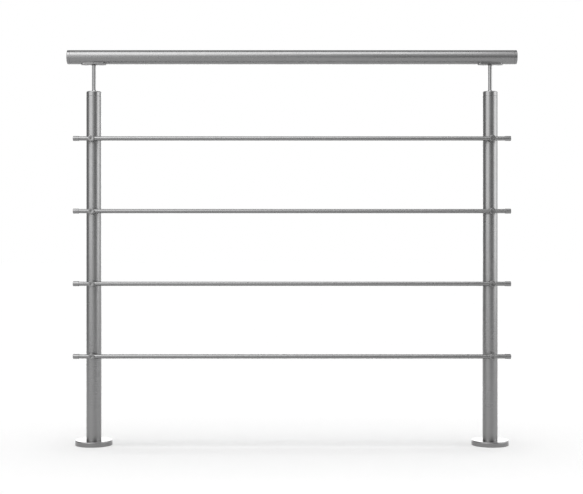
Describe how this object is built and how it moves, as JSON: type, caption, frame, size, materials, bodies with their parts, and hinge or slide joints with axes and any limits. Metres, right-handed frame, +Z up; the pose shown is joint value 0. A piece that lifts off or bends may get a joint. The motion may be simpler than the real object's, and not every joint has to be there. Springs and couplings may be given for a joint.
{
  "type": "balustrade",
  "caption": "Stainless steel balustrade bay with round posts, a tubular handrail on slim stems, and thin horizontal crossbars clamped in front of the posts.",
  "frame": {"origin": "centre of the left floor flange's bottom face, on the floor", "axes": "+X along the bay from the left post to the right post, +Z up, and -Y towards the side where the crossbars are"},
  "size_m": [1.286, 0.105, 1.125],
  "materials": {
    "post_tube": "satin, finely ground round the tube",
    "handrail_tube": "satin, finely ground round the tube",
    "bar_tube": "satin, finely ground round the bar",
    "fitting": "turned and lightly polished",
    "rosette": "pressed sheet, satin",
    "flange": "mill finish, hidden under the rosette",
    "screw": "bright stainless"
  },
  "bodies": {
    "root": {"left_base_flange": "flange", "left_rosette": "rosette", "left_post": "post_tube", "left_post_cap": "fitting", "left_stem": "fitting", "left_saddle": "fitting", "left_saddle_screws": "screw", "left_set_screws": "screw", "left_holder_1": "fitting", "left_holder_2": "fitting", "left_holder_3": "fitting", "left_holder_4": "fitting", "right_base_flange": "flange", "right_rosette": "rosette", "right_post": "post_tube", "right_post_cap": "fitting", "right_stem": "fitting", "right_saddle": "fitting", "right_saddle_screws": "screw", "right_set_screws": "screw", "right_holder_1": "fitting", "right_holder_2": "fitting", "right_holder_3": "fitting", "right_holder_4": "fitting", "crossbar_1": "bar_tube", "crossbar_2": "bar_tube", "crossbar_3": "bar_tube", "crossbar_4": "bar_tube", "left_bar_cap_1": "fitting", "left_bar_cap_2": "fitting", "left_bar_cap_3": "fitting", "left_bar_cap_4": "fitting", "right_bar_cap_1": "fitting", "right_bar_cap_2": "fitting", "right_bar_cap_3": "fitting", "right_bar_cap_4": "fitting", "handrail": "handrail_tube", "left_handrail_cap": "fitting", "right_handrail_cap": "fitting"}
  },
  "joints": []
}
